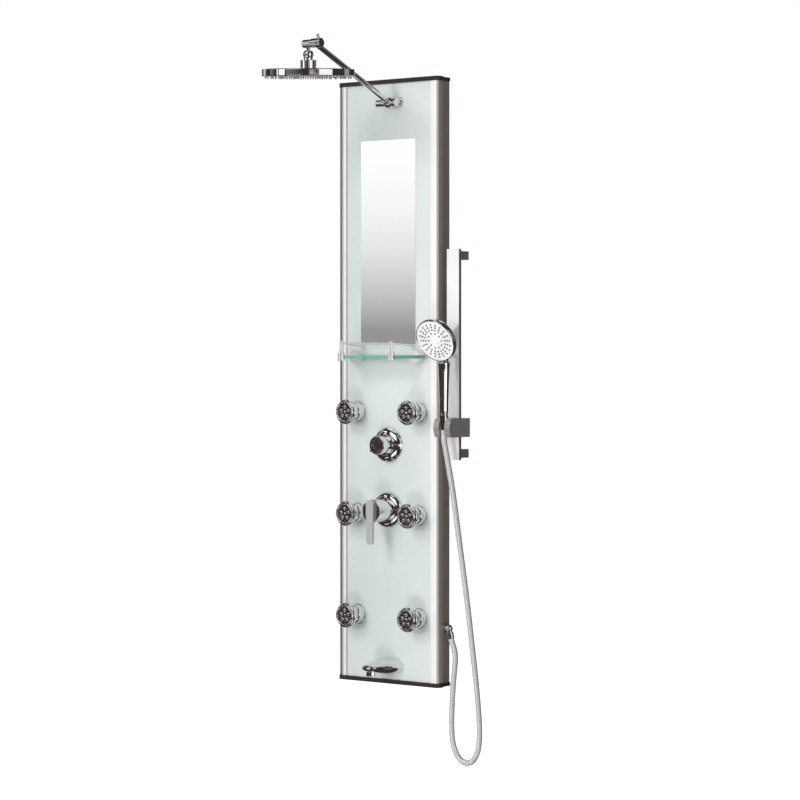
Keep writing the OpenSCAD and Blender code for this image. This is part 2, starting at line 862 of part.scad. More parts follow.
// Every stud that comes through the glass has a washer and a nut
module panel_washers() {
    color("#222222") {
        jet_places() washer(stud_d);
        translate([0, 0, spout_z]) washer(stud_d);
        translate([rod_x, 0, rod_z]) washer(arm_stud_d);
        clamp_places() washer(clamp_stud_d);
    }
}
module washer(d) {
    difference() {
        out_cyl(d + 2 * washer_rim, rear_y + washer_t, washer_t);
        out_cyl(d + 2 * seat_gap, rear_y + washer_t + over, washer_t + 2 * over);
    }
}
module nut(d) {
    difference() {
        translate([0, rear_y + washer_t + nut_t, 0]) rotate([90, 0, 0])
            cylinder(d = d + 2 * nut_rim, h = nut_t, $fn = 6);
        out_cyl(d + 2 * seat_gap, rear_y + washer_t + nut_t + over, nut_t + 2 * over);
    }
}
module back_nuts() {
    color("#b08d4c") {
        jet_places() nut(stud_d);
        translate([0, 0, spout_z]) nut(stud_d);
        translate([rod_x, 0, rod_z]) nut(arm_stud_d);
        clamp_places() nut(clamp_stud_d);
    }
}

// Valves
// A hollow rounded ring that covers a valve's hole in the glass
module wall_plate(hole_r) {
    mid = hole_r + plate_t;
    reach = plate_d / 2 - mid;
    top = min(plate_h, reach);
    sink = (reach * reach - top * top) / (2 * top);
    rotate_extrude() {
        difference() {
            translate([mid, -sink]) circle(top + sink);
            translate([mid, -sink]) circle(top + sink - plate_t);
            translate([mid - plate_d, -plate_d]) square([plate_d, 2 * plate_d]);
            translate([0, -plate_d]) square([plate_d, plate_d]);
        }
        translate([hole_r, top - step_in]) square([plate_t + seat_gap, step_in]);
    }
}
module diverter_plate() {
    hole_r = diverter_d / 2 + move_gap;
    color("silver") on_glass(0, diverter_z) {
        wall_plate(hole_r);
        difference() {
            translate([0, 0, plate_h - step_in]) cylinder(d = step_d, h = step_in + step_h);
            cylinder(r = hole_r, h = plate_h + 2 * step_h);
        }
    }
}
module diverter_knob() {
    stem = face_y - stem_end;
    color("silver") on_glass(0, diverter_z) {
        translate([0, 0, knob_skirt]) soft_disc(diverter_d, diverter_out - knob_skirt, knob_edge);
        translate([0, 0, stem]) cylinder(d = diverter_stem_d, h = knob_skirt + over - stem);
        rotate([0, 0, tab_angle]) translate([diverter_d / 2 - over, 0, diverter_out - tab_in])
            rotate([0, 90, 0]) soft_disc(tab_d, tab_l + over, tab_d / 4);
    }
}
module diverter_valve() {
    w = diverter_block[0];
    h = diverter_block[1];
    color("#b08d4c") translate([0, 0, diverter_z]) difference() {
        union() {
            span([-w / 2, rear_y + valve_gap, -h / 2], [w / 2, valve_back, h / 2]);
            out_cyl(diverter_boss_d, rear_y + over, rear_y + over - face_y + boss_out);
        }
        out_cyl(diverter_stem_d + 2 * run_gap, stem_end + over, stem_end + over - face_y + boss_out + over);
        translate([0, pipe_y, 0]) {
            for (z = [-port_step, port_step]) translate([0, 0, z]) right_cyl(pipe_bore, -w, 2 * w);
            cylinder(d = pipe_bore, h = 2 * h, center = true);
        }
    }
}
module mixer_plate() {
    color("silver") on_glass(0, mixer_z) wall_plate(mixer_d / 2 + move_gap);
}
module mixer_sleeve() {
    stem = face_y - stem_end;
    slot_x = lever_w / 2 + move_gap;
    color("silver") on_glass(0, mixer_z) difference() {
        union() {
            difference() {
                translate([0, 0, knob_skirt]) soft_disc(mixer_d, mixer_out - knob_skirt, soft_r);
                translate([0, 0, knob_skirt - over])
                    cylinder(d = mixer_d - 2 * sleeve_wall, h = mixer_out - knob_skirt - mixer_plug + over);
            }
            translate([0, 0, stem]) cylinder(d = mixer_stem_d, h = mixer_out - mixer_plug + over - stem);
        }
        span([-slot_x, pin_rise - lug_d / 2 - over, mixer_out - mixer_plug + sleeve_wall],
            [slot_x, mixer_d, mixer_out + over]);
        translate([0, pin_rise, mixer_out - pin_sink])
            right_cyl(pin_d + 2 * run_gap, -lever_w / 2 - pin_over, lever_w + 2 * pin_over);
    }
}
module mixer_lever() {
    color("#e3e3e3") on_glass(0, mixer_z) {
        translate([0, 0, mixer_out + move_gap]) linear_extrude(lever_t) {
            polygon([[-lever_w / 2, lever_top], [lever_w / 2, lever_top],
                [lever_tip_r, lever_tip_r - lever_drop], [-lever_tip_r, lever_tip_r - lever_drop]]);
            translate([0, lever_tip_r - lever_drop]) circle(lever_tip_r);
        }
        translate([0, pin_rise, mixer_out - pin_sink]) {
            right_cyl(pin_d, -lever_w / 2 - pin_over + move_gap, lever_w + 2 * pin_over - 2 * move_gap);
            right_cyl(lug_d, -lever_w / 2, lever_w);
        }
    }
}
module mixer_valve() {
    cross_half = inlet_x + cross_over;
    color("#b08d4c") translate([0, 0, mixer_z]) difference() {
        union() {
            out_cyl(mixer_body_d, valve_back, valve_back - rear_y - valve_gap);
            out_cyl(mixer_boss_d, rear_y + over, rear_y + over - face_y + boss_out);
            translate([0, stem_end, 0]) {
                right_cyl(cross_d, -cross_half, 2 * cross_half);
                for (x = [-inlet_x, inlet_x]) translate([x, 0, -inlet_drop]) {
                    cylinder(d = inlet_d, h = inlet_drop);
                }
            }
            translate([0, pipe_y, 0]) cylinder(d = stub_d, h = mixer_body_d / 2 + over);
        }
        out_cyl(mixer_stem_d + 2 * run_gap, stem_end + over, stem_end + over - face_y + boss_out + over);
        translate([0, stem_end, 0]) {
            right_cyl(pipe_bore, -inlet_x, 2 * inlet_x);
            for (x = [-inlet_x, inlet_x]) translate([x, 0, -inlet_drop - over])
                cylinder(d = inlet_bore, h = inlet_drop + over);
        }
        translate([0, pipe_y, 0]) cylinder(d = pipe_bore, h = mixer_body_d);
        for (x = [-inlet_x, inlet_x]) translate([x, stem_end, inlet_thread - inlet_drop]) difference() {
            cylinder(d = inlet_d + over, h = inlet_relief * 2);
            cylinder(d = inlet_d - inlet_relief, h = inlet_relief * 2);
        }
    }
}

// Tub spout
module tub_spout() {
    outlet = spout_reach - spout_tip_r;
    color("silver") difference() {
        union() {
            on_glass(0, spout_z) hull() {
                scale([spout_w / 2, spout_h / 2, 1]) cylinder(r = 1, h = spout_base_t, $fn = 48);
                translate([0, 0, outlet]) scale([1, spout_flat_share, 1]) sphere(spout_tip_r, $fn = 40);
            }
            translate([0, 0, spout_z]) out_cyl(stud_d, stud_end, stud_end - face_y + over);
        }
        translate([0, 0, spout_z]) out_cyl(inlet_bore, stud_end + over, stud_end + over - face_y + outlet);
        translate([0, face_y - outlet, spout_z - spout_h])
            cylinder(d = aerator_neck_d + 2 * seat_gap, h = spout_h);
        translate([0, face_y - outlet, spout_z - spout_h])
            cylinder(d = aerator_d + 2 * seat_gap, h = spout_h - spout_flat_share * spout_tip_r);
    }
}
module spout_aerator() {
    low = spout_flat_share * spout_tip_r + seat_gap;
    color("silver") translate([0, face_y - spout_reach + spout_tip_r, spout_z - low]) difference() {
        union() {
            cylinder(d = aerator_neck_d, h = aerator_neck_h);
            translate([0, 0, -aerator_h]) soft_disc(aerator_d, aerator_h, over);
        }
        translate([0, 0, -aerator_h - over])
            cylinder(d = aerator_neck_d - 2 * aerator_grid_t, h = aerator_h - aerator_grid_t);
        translate([0, 0, -over]) cylinder(d = aerator_neck_d - 2 * aerator_grid_t, h = aerator_h + over);
        translate([0, 0, -aerator_h]) {
            cylinder(d = aerator_hole_d, h = aerator_h);
            for (k = [0:5]) rotate([0, 0, 60 * k]) translate([aerator_ring, 0, 0])
                cylinder(d = aerator_hole_d, h = aerator_h);
        }
    }
}

// Slide bar and slider
module slide_bar() {
    color("#e6e6e6") translate([bar_x, 0, bar_low]) linear_extrude(bar_high - bar_low) {
        translate([-bar_w / 2 + bar_edge, bar_y]) square([bar_w - 2 * bar_edge, bar_t]);
        translate([-bar_w / 2, bar_y + bar_edge]) square([bar_w, bar_t - 2 * bar_edge]);
        for (x = [-1, 1], y = [bar_edge, bar_t - bar_edge])
            translate([x * (bar_w / 2 - bar_edge), bar_y + y]) circle(bar_edge);
    }
}
module bar_posts() {
    color("#55504b") for (z = post_z) difference() {
        span([bar_x - post_w / 2, bar_y + bar_t, z - post_h / 2], [bar_x + post_w / 2, 0, z + post_h / 2]);
        translate([bar_x, 0, z]) out_cyl(post_screw_d, over, post_screw_l + over);
    }
}
module slider_block() {
    front = -handle_out - slider_front;
    mid = front + slider_front_r;
    left = bar_x - slider_w / 2;
    low = slider_z - slider_h / 2;
    high = slider_z + slider_h / 2;
    color("#d0d0ce") difference() {
        union() {
            span([left, mid, low], [left + slider_w, -slider_back, high]);
            intersection() {
                span([left, front, low], [left + slider_w, mid + over, high]);
                translate([0, mid, slider_z]) right_cyl(2 * slider_front_r, left - over, slider_w + 2 * over);
            }
        }
        span([bar_x - bar_w / 2 - move_gap, bar_y - move_gap, low - over],
            [bar_x + bar_w / 2 + move_gap, bar_y + bar_t + move_gap, high + over]);
        translate([bar_x, -handle_out, 0]) {
            translate([0, 0, cone_z]) cylinder(d1 = cone_low_d + 2 * move_gap,
                d2 = cone_top_d + 2 * move_gap, h = cone_h);
            translate([0, 0, low - over]) cylinder(d = cone_low_d + 2 * move_gap, h = slider_h / 2);
            span([-slot_w / 2, -slider_front_r, low - over], [slot_w / 2, 0, high + over]);
        }
    }
}

// Hand shower
module at_face() {
    translate(face_at) rotate([hand_tilt - 90, 0, 0]) children();
}
module handset_shell() {
    top = face_at[2] - hand_d / 2;
    dome_r = (pow(hand_d / 2 - dome_in, 2) + pow(dome_t, 2)) / (2 * dome_t);
    color("silver") difference() {
        union() {
            translate([bar_x, -handle_out, handle_z])
                cylinder(d1 = handle_low_d, d2 = handle_d, h = top - handle_z);
            at_face() {
                dome_disc(hand_d, drum_t, drum_soft);
                intersection() {
                    translate([0, 0, drum_t + dome_t - dome_r]) sphere(dome_r);
                    translate([0, 0, drum_t - over]) cylinder(d = hand_d, h = dome_t + over);
                }
            }
            hull() {
                translate([bar_x, -handle_out, top - over]) cylinder(d = handle_d, h = over, $fn = 32);
                at_face() for (x = [-neck_half, neck_half])
                    translate([x, hand_d / 2 - neck_in, neck_back]) sphere(neck_r, $fn = 32);
            }
        }
        translate([bar_x, -handle_out, handle_z - over]) cylinder(d = handle_bore, h = top - handle_z);
        at_face() translate([0, 0, -over])
            cylinder(d = hand_d - 2 * face_lip + 2 * move_gap, h = face_disc_t + move_gap + over);
        at_face() cylinder(d = hand_d * cavity_share, h = face_disc_t + hand_cavity);
        hull() {
            translate([bar_x, -handle_out, top - passage_d]) sphere(d = passage_d, $fn = 24);
            at_face() translate([0, hand_d / 2 - 2 * neck_in, hand_cavity]) sphere(d = passage_d, $fn = 24);
        }
    }
}
module hand_nozzle_places() {
    for (k = [0:hand_rows - 1], s = row_radius_shares) rotate([0, 0, k * 360 / hand_rows])
        translate([s * hand_d / 2, 0, 0]) children();
    for (k = [0:inner_count - 1]) rotate([0, 0, k * 360 / inner_count])
        translate([inner_share * hand_d / 2, 0, 0]) children();
}
module handset_face() {
    color("#f2f1f1") at_face() difference() {
        cylinder(d = hand_d - 2 * face_lip, h = face_disc_t);
        translate([0, 0, -over]) hand_nozzle_places() cylinder(d = jet_nub_d + 2 * seat_gap, h = face_disc_t);
        translate([0, 0, face_disc_t - rubber_t - seat_gap])
            cylinder(d = hand_d - 4 * face_lip, h = rubber_t + seat_gap + over);
    }
}
module handset_nozzles() {
    color("#6f6a70") at_face() {
        translate([0, 0, face_disc_t - rubber_t]) cylinder(d = hand_d - 5 * face_lip, h = rubber_t);
        hand_nozzle_places() translate([0, 0, -jet_nub_out])
            cylinder(d = jet_nub_d, h = face_disc_t - rubber_t / 2 + jet_nub_out);
    }
}

// Hose and its fittings
module hose_cone() {
    color("silver") translate([bar_x, -handle_out, cone_z]) difference() {
        union() {
            cylinder(d1 = cone_low_d, d2 = cone_top_d, h = cone_h - move_gap);
        }
        translate([0, 0, -over]) cylinder(d = hose_bore, h = cone_h + 2 * over);
    }
}
module hose_elbow() {
    run = elbow_run / norm(elbow_run);
    color("silver") difference() {
        union() {
            translate([0, pipe_y, elbow_z]) {
                right_cyl(elbow_flange_d, half_w, elbow_flange_t);
                right_cyl(spigot_d, half_w - spigot_in, spigot_in + elbow_out);
            }
            translate(elbow_at) sphere(d = elbow_ball_d);
            rod(elbow_at, elbow_at + elbow_run, spigot_d);
            rod(elbow_at + elbow_run - elbow_nut_l * run, elbow_at + elbow_run, elbow_nut_d);
        }
        translate([0, pipe_y, elbow_z])
            right_cyl(hose_bore, half_w - spigot_in - over, spigot_in + elbow_out + 2 * over);
        rod(elbow_at, elbow_at + elbow_run + over * run, hose_bore - over);
    }
}
// A smooth curve through the route's points
function curve(a, b, c, d, t) = 0.5 * ((2 * b) + (c - a) * t + (2 * a - 5 * b + 4 * c - d) * t * t
    + (3 * b - a - 3 * c + d) * t * t * t);
route_ends = concat([2 * hose_route[0] - hose_route[1]], hose_route,
    [2 * hose_route[len(hose_route) - 1] - hose_route[len(hose_route) - 2]]);
hose_path = concat([for (k = [1:len(route_ends) - 3], j = [0:hose_fine - 1])
    curve(route_ends[k - 1], route_ends[k], route_ends[k + 1], route_ends[k + 2], j / hose_fine)],
    [hose_route[len(hose_route) - 1]]);
path_steps = [for (k = [1:len(hose_path) - 1]) norm(hose_path[k] - hose_path[k - 1])];
path_lengths = [for (k = 0, s = 0; k <= len(path_steps); s = s + (k < len(path_steps) ? path_steps[k] : 0),
    k = k + 1) s];
hose_length = path_lengths[len(path_lengths) - 1];
function path_index(s) = min(len(path_steps) - 1, max([for (k = [0:len(path_steps) - 1])
    path_lengths[k] <= s ? k : 0]));
function path_point(s) = let (k = path_index(s), t = (s - path_lengths[k]) / path_steps[k])
    hose_path[k] + t * (hose_path[k + 1] - hose_path[k]);
function path_tangent(s) = let (v = path_point(min(s + aim, hose_length)) - path_point(max(s - aim, 0)))
    v / norm(v);
// One ring of the hose at a distance along it
function hose_ring(s, r) = let (p = path_point(s), t = path_tangent(s),
    e = cross(t, [0, 1, 0]) / norm(cross(t, [0, 1, 0])), f = cross(t, e))
    [for (j = [0:hose_sides - 1]) p + r * (cos(360 * j / hose_sides) * e + sin(360 * j / hose_sides) * f)];
// Joins two neighbouring rings with triangles
function band(a, b) = [for (j = [0:hose_sides - 1]) let (n = (j + 1) % hose_sides)
    each [[a + j, b + j, b + n], [a + j, b + n, a + n]]];
module hand_hose() {
    r = hose_d / 2;
    plain = hose_d;
    pitch = (hose_length - 2 * plain) / hose_ribs;
    outer = concat([[0, r]], [for (k = [0:hose_ribs - 1]) each [[plain + k * pitch, r * hose_valley_share],
        [plain + (k + 0.5) * pitch, r]]], [[hose_length - plain, r * hose_valley_share], [hose_length, r]]);
    inner = [for (k = [0:bore_step:len(outer) - 1]) outer[k][0]];
    inner_all = inner[len(inner) - 1] < hose_length ? concat(inner, [hose_length]) : inner;
    no = len(outer) * hose_sides;
    points = concat([for (o = outer) each hose_ring(o[0], o[1])],
        [for (s = inner_all) each hose_ring(s, hose_bore / 2)]);
    last_out = no - hose_sides;
    last_in = no + (len(inner_all) - 1) * hose_sides;
    faces = concat([for (k = [0:len(outer) - 2]) each band(k * hose_sides, (k + 1) * hose_sides)],
        [for (k = [0:len(inner_all) - 2]) each band(no + (k + 1) * hose_sides, no + k * hose_sides)],
        band(no, 0), band(last_out, last_in));
    color("#a9adad") polyhedron(points, faces);
}

// Pipes behind the glass, with a square fitting at every bend
module runs(points, d) {
    for (k = [0:len(points) - 2]) rod(points[k], points[k + 1], d);
}
module fitting(at) {
    translate(at) cube(pipe_d + bend_more, center = true);
}
module pipe(points) {
    difference() {
        union() {
            runs(points, pipe_d);
            for (k = [1:1:len(points) - 2]) fitting(points[k]);
        }
        runs(points, pipe_bore);
    }
}
module jet_pipe() {
    upper_port = diverter_z + port_step;
    block_x = diverter_block[0] / 2 + seat_gap;
    jet_low = jet_top - 2 * jet_pitch;
    bar = (pipe_d + bend_more) / 2;
    difference() {
        union() {
            rod([block_x, pipe_y, upper_port], [jet_x, pipe_y, upper_port], pipe_d);
            span([jet_x - bar, pipe_y - bar, jet_low - bar], [jet_x + bar, pipe_y + bar, jet_top + bar]);
            for (k = [0:2]) translate([jet_x, 0, jet_top - k * jet_pitch])
                out_cyl(pipe_d, pipe_y, pipe_y - stud_end - seat_gap);
        }
        rod([block_x - over, pipe_y, upper_port], [jet_x, pipe_y, upper_port], water_d);
        rod([jet_x, pipe_y, jet_low], [jet_x, pipe_y, jet_top], pipe_bore);
        for (k = [0:2]) translate([jet_x, 0, jet_top - k * jet_pitch])
            out_cyl(water_d + over, pipe_y, pipe_y - stud_end + over);
    }
}
module supply_pipes() {
    lower_port = diverter_z - port_step;
    block_x = diverter_block[0] / 2 + seat_gap;
    color("#b87333") {
        pipe([[0, pipe_y, mixer_z + mixer_body_d / 2 + over + seat_gap],
            [0, pipe_y, diverter_z - diverter_block[1] / 2 - seat_gap]]);
        pipe([[0, pipe_y, diverter_z + diverter_block[1] / 2 + seat_gap], [0, pipe_y, rod_z],
            [rod_x, pipe_y, rod_z], [rod_x, stud_end + seat_gap, rod_z]]);
        pipe([[-block_x, pipe_y, lower_port], [-side_pipe_x, pipe_y, lower_port],
            [-side_pipe_x, pipe_y, spout_z], [0, pipe_y, spout_z], [0, stud_end + seat_gap, spout_z]]);
        pipe([[block_x, pipe_y, lower_port], [side_pipe_x, pipe_y, lower_port],
            [side_pipe_x, pipe_y, elbow_z], [half_w - spigot_in - seat_gap, pipe_y, elbow_z]]);
        jet_pipe();
        mirror([1, 0, 0]) jet_pipe();
    }
}

rear_tray();
left_profile();
right_profile();
glass_panel();
mirror_plate();  // mirror
top_cap();
bottom_cap();
wall_brackets();
shelf_glass();
shelf_clamps();
shelf_posts();
shelf_rail();
arm_flange();
arm_spindle();
arm_knob();
shower_arm();
elbow_barrel();
elbow_lever();
ball_stud();
ball_seat_lower();
ball_seat_upper();
swivel_housing();
collar_nut();
rain_shell();
rain_face();
rain_nozzles();
jet_bases();
jet_collar(1);  // jet_1_collar
jet_collar(2);  // jet_2_collar
jet_collar(3);  // jet_3_collar
jet_collar(4);  // jet_4_collar
jet_collar(5);  // jet_5_collar
jet_collar(6);  // jet_6_collar
jet_head(1);  // jet_1_head
jet_head(2);  // jet_2_head
jet_head(3);  // jet_3_head
jet_head(4);  // jet_4_head
jet_head(5);  // jet_5_head
jet_head(6);  // jet_6_head
panel_washers();
back_nuts();
diverter_plate();
diverter_knob();
diverter_valve();
mixer_plate();
mixer_sleeve();
mixer_lever();
mixer_valve();
tub_spout();
spout_aerator();
slide_bar();
bar_posts();
slider_block();
handset_shell();
handset_face();
handset_nozzles();
hose_cone();
hand_hose();
hose_elbow();
supply_pipes();
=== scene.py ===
"""Wall-hung shower panel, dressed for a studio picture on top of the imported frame."""
import json
import math

import bmesh
import bpy
from mathutils import Matrix, Vector


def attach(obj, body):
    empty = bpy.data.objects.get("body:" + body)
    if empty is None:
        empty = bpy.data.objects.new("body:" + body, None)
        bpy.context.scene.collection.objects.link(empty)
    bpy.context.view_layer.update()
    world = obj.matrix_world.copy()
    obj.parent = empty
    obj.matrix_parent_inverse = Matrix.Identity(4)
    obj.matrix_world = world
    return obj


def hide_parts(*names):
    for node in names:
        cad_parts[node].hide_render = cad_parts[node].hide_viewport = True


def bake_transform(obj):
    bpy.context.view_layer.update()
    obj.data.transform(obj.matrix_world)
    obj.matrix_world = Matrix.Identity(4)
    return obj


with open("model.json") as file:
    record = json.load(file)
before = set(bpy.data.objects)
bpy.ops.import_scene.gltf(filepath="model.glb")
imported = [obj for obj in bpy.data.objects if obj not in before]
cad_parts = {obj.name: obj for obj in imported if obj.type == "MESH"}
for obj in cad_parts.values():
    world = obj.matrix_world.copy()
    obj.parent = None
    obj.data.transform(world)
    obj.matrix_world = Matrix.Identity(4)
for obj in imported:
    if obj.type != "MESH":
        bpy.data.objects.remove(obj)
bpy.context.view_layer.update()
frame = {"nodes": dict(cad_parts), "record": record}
nodes = frame["nodes"]

WHITE = (1.0, 1.0, 1.0, 1.0)
QUAD = [(0, 1, 2, 3)]


def add_object(name, data):
    obj = bpy.data.objects.new(name, data)
    bpy.context.scene.collection.objects.link(obj)
    return obj


# The camera stands level, off to the right of the panel
CAM_TURN = math.radians(38.0)
CAM_AWAY = 6.274
CAM_HEIGHT = 0.066
CAM_SHIFT = (0.0151, -0.0588)
CAM_CLIP = (0.05, 60.0)
PANEL_FRONT = -0.044
cam_data = bpy.data.cameras.new("camera")
cam_data.sensor_width = 36.0
cam_data.lens = 121.8
cam_data.shift_x, cam_data.shift_y = CAM_SHIFT
cam_data.clip_start, cam_data.clip_end = CAM_CLIP
camera = add_object("camera", cam_data)
camera.location = (CAM_AWAY * math.sin(CAM_TURN), PANEL_FRONT - CAM_AWAY * math.cos(CAM_TURN), CAM_HEIGHT)
look = Vector((-math.sin(CAM_TURN), math.cos(CAM_TURN), 0.0))
camera.rotation_euler = look.to_track_quat("-Z", "Y").to_euler()
bpy.context.scene.camera = camera


# Helpers for shaders
def hex_rgb(text):
    channels = [int(text[i:i + 2], 16) / 255.0 for i in (1, 3, 5)]
    return tuple(c / 12.92 if c < 0.04045 else ((c + 0.055) / 1.055) ** 2.4 for c in channels) + (1.0,)


class Nodes:
    """A short way to write shader nodes."""

    def __init__(self, tree):
        self.tree = tree

    def feed(self, socket, value):
        """Link a socket to another one, or give it a value of its own."""
        if isinstance(value, bpy.types.NodeSocket):
            self.tree.links.new(value, socket)
        else:
            socket.default_value = value

    def node(self, kind, *inputs, **values):
        """A new node. Settings go by name, and inputs in order or by name, with underscores for spaces."""
        made = self.tree.nodes.new(kind)
        for key, value in values.items():
            if hasattr(made, key) and not isinstance(value, bpy.types.NodeSocket):
                setattr(made, key, value)
            else:
                self.feed(made.inputs[key.replace("_", " ")], value)
        for index, value in enumerate(inputs):
            self.feed(made.inputs[index], value)
        return made

    def calc(self, operation, *terms):
        return self.node("ShaderNodeMath", *terms, operation=operation).outputs["Value"]

    def axis(self, name, vector):
        return self.node("ShaderNodeSeparateXYZ", vector).outputs[name]


class Shade(Nodes):
    """A material with one principled shader."""

    def __init__(self, name, color, rough, metal=0.0, **more):
        self.mat = bpy.data.materials.new(name)
        self.mat.use_nodes = True
        super().__init__(self.mat.node_tree)
        self.bsdf = self.tree.nodes["Principled BSDF"]
        self.coord = None
        self.set("Base Color", hex_rgb(color))
        self.set("Roughness", rough)
        self.set("Metallic", metal)
        for key, value in more.items():
            self.set(key.replace("_", " "), value)

    def set(self, socket, value):
        self.feed(self.bsdf.inputs[socket], value)

    def place(self, scale=(1, 1, 1)):
        """The point on the object itself, in metres, stretched by the scale."""
        if self.coord is None:
            self.coord = self.node("ShaderNodeTexCoord").outputs["Object"]
        return self.node("ShaderNodeMapping", Vector=self.coord, Scale=scale).outputs["Vector"]

    def noise(self, size, detail, stretch=(1, 1, 1)):
        made = self.node("ShaderNodeTexNoise", Vector=self.place(stretch), Scale=size, Detail=detail)
        return made.outputs["Fac"]

    def ramp(self, fac, low, high, color_low, color_high):
        made = self.node("ShaderNodeValToRGB", Fac=fac)
        for element, position, color in zip(made.color_ramp.elements, (low, high), (color_low, color_high)):
            element.position = position
            element.color = hex_rgb(color) if isinstance(color, str) else color
        return made.outputs["Color"]

    def grey(self, fac, low, high, value_low, value_high):
        made = self.node("ShaderNodeMapRange", Value=fac, From_Min=low, From_Max=high, To_Min=value_low,
                         To_Max=value_high)
        return made.outputs["Result"]

    def multiply(self, color, other, amount=1.0):
        made = self.node("ShaderNodeMixRGB", blend_type="MULTIPLY", Fac=amount, Color1=color, Color2=other)
        return made.outputs["Color"]

    def bump(self, height, strength, distance, normal=None):
        made = self.node("ShaderNodeBump", Height=height, Strength=strength, Distance=distance)
        if normal is not None:
            self.feed(made.inputs["Normal"], normal)
        return made.outputs["Normal"]

    def rounded(self, radius):
        return self.node("ShaderNodeBevel", samples=4, Radius=radius).outputs["Normal"]


# Materials
def chrome(name, color, rough):
    """Polished plating with the faint haze and water marks of a handled tap."""
    s = Shade(name, color, rough, 1.0)
    s.set("Roughness", s.grey(s.noise(60.0, 3.0), 0.35, 0.75, rough * 0.6, rough * 1.7))
    s.set("Normal", s.bump(s.noise(400.0, 2.0), 0.02, 0.0001, s.rounded(0.0004)))
    return s.mat


def satin(name, color, rough, grain, strength, metal=1.0):
    """Brushed or blasted metal, whose fine texture is stretched by the grain."""
    s = Shade(name, color, rough, metal)
    lines = s.noise(900.0, 3.0, grain)
    s.set("Roughness", s.grey(lines, 0.3, 0.7, rough * 0.8, rough * 1.3))
    s.set("Normal", s.bump(lines, strength, 0.0001, s.rounded(0.0004)))
    return s.mat


def plastic(name, color, rough, grain=1500.0, strength=0.06, coat=0.0):
    """Moulded plastic or rubber with a fine skin."""
    s = Shade(name, color, rough, Coat_Weight=coat)
    skin = s.noise(grain, 2.0)
    base = hex_rgb(color)[:3]
    darker = tuple(c * 0.9 for c in base) + (1,)
    lighter = tuple(min(1, c * 1.08) for c in base) + (1,)
    s.set("Base Color", s.ramp(s.noise(30.0, 3.0), 0.3, 0.7, darker, lighter))
    s.set("Normal", s.bump(skin, strength, 0.0002, s.rounded(0.0003)))
    return s.mat


HALF_GLASS = 0.13


def frosted_glass():
    """Back-painted safety glass with a fine etched grain, and painted light that makes it paler towards its
    right side.
    """
    s = Shade("frosted_glass", "#cbd4d3", 0.42, Coat_Weight=0.3, Coat_Roughness=0.14)
    fleck = s.noise(650.0, 5.0)
    cloud = s.noise(5.0, 2.0)
    # Painted light: the glass colour grows paler from its left side to its right.
    across = s.grey(s.axis("X", s.place()), -HALF_GLASS, HALF_GLASS, 0.0, 1.0)
    painted_light_tint = s.ramp(across, 0.0, 1.0, "#c9d2cf", "#dce1de")
    base = s.multiply(painted_light_tint, s.ramp(cloud, 0.35, 0.65, "#f4f6f6", "#ffffff"))
    s.set("Base Color", s.multiply(base, s.ramp(fleck, 0.35, 0.7, "#eff2f2", "#ffffff"), 0.6))
    s.set("Normal", s.bump(fleck, 0.12, 0.0002))
    return s.mat


def mirror_face():
    s = Shade("mirror_silver", "#eef0ef", 0.015, 1.0)
    s.set("Roughness", s.grey(s.noise(40.0, 2.0), 0.3, 0.8, 0.008, 0.03))
    return s.mat


def aluminium(name, tone, painted_side_shade, rough=0.3, metal=0.35, painted_edge_shade=None):
    """Anodised trim, brushed along its length, with painted shade that makes its sides duller than its
    bright front.

    The last argument, if given, holds two places across the panel, between which painted shade on the outer
    edge gives way to the bright front.
    """
    s = Shade(name, tone, rough, metal)
    lines = s.noise(1400.0, 4.0, (1, 1, 0.004))
    turned = s.calc("ABSOLUTE", s.axis("X", s.node("ShaderNodeTexCoord").outputs["Normal"]))
    # Painted shade: faces turned towards the sides take the darker side colour, and the front stays bright.
    base = s.ramp(turned, 0.12, 0.45, tone, painted_side_shade)
    if painted_edge_shade:
        # Painted shade: the outer edge is darkened, fading to the bright front between the two places.
        across = s.grey(s.axis("X", s.place()), painted_edge_shade[0], painted_edge_shade[1], 0.0, 1.0)
        base = s.multiply(base, s.ramp(across, 0.0, 1.0, "#5a5450", "#ffffff"))
    s.set("Base Color", s.multiply(base, s.ramp(lines, 0.3, 0.7, "#f6f6f6", "#ffffff")))
    s.set("Roughness", s.grey(lines, 0.3, 0.7, rough * 0.86, rough * 1.2))
    s.set("Normal", s.rounded(0.0006))
    return s.mat


def tray_metal():
    """Dark anodised side of the panel, with fine vertical brushing."""
    s = Shade("tray_grey", "#a09891", 0.38, 0.35)
    lines = s.noise(1100.0, 4.0, (1, 1, 0.015))
    s.set("Base Color", s.ramp(lines, 0.3, 0.75, "#8c847d", "#b0a8a1"))
    s.set("Roughness", s.grey(lines, 0.3, 0.7, 0.32, 0.48))
    s.set("Normal", s.bump(lines, 0.2, 0.0001, s.rounded(0.0005)))
    return s.mat


def shelf_glass():
    """Clear float glass whose cut edges glow green."""
    s = Shade("green_glass", "#ffffff", 0.03, IOR=1.5, Transmission_Weight=1.0)
    upright = s.calc("ABSOLUTE", s.axis("Z", s.node("ShaderNodeNewGeometry").outputs["Normal"]))
    edge = s.grey(upright, 0.6, 0.3, 0.0, 1.0)
    s.set("Base Color", s.ramp(edge, 0.2, 0.8, "#f4fbf9", "#74b8a6"))
    s.set("Transmission Weight", s.grey(edge, 0.0, 1.0, 1.0, 0.35))
    s.set("Roughness", s.grey(edge, 0.0, 1.0, 0.02, 0.2))
    return s.mat


def copper_pipe():
    s = Shade("copper", "#b87348", 0.32, 1.0)
    s.set("Base Color", s.ramp(s.noise(25.0, 5.0), 0.3, 0.75, "#9a5a38", "#c98a5e"))
    s.set("Roughness", s.grey(s.noise(90.0, 4.0), 0.3, 0.7, 0.24, 0.5))
    return s.mat


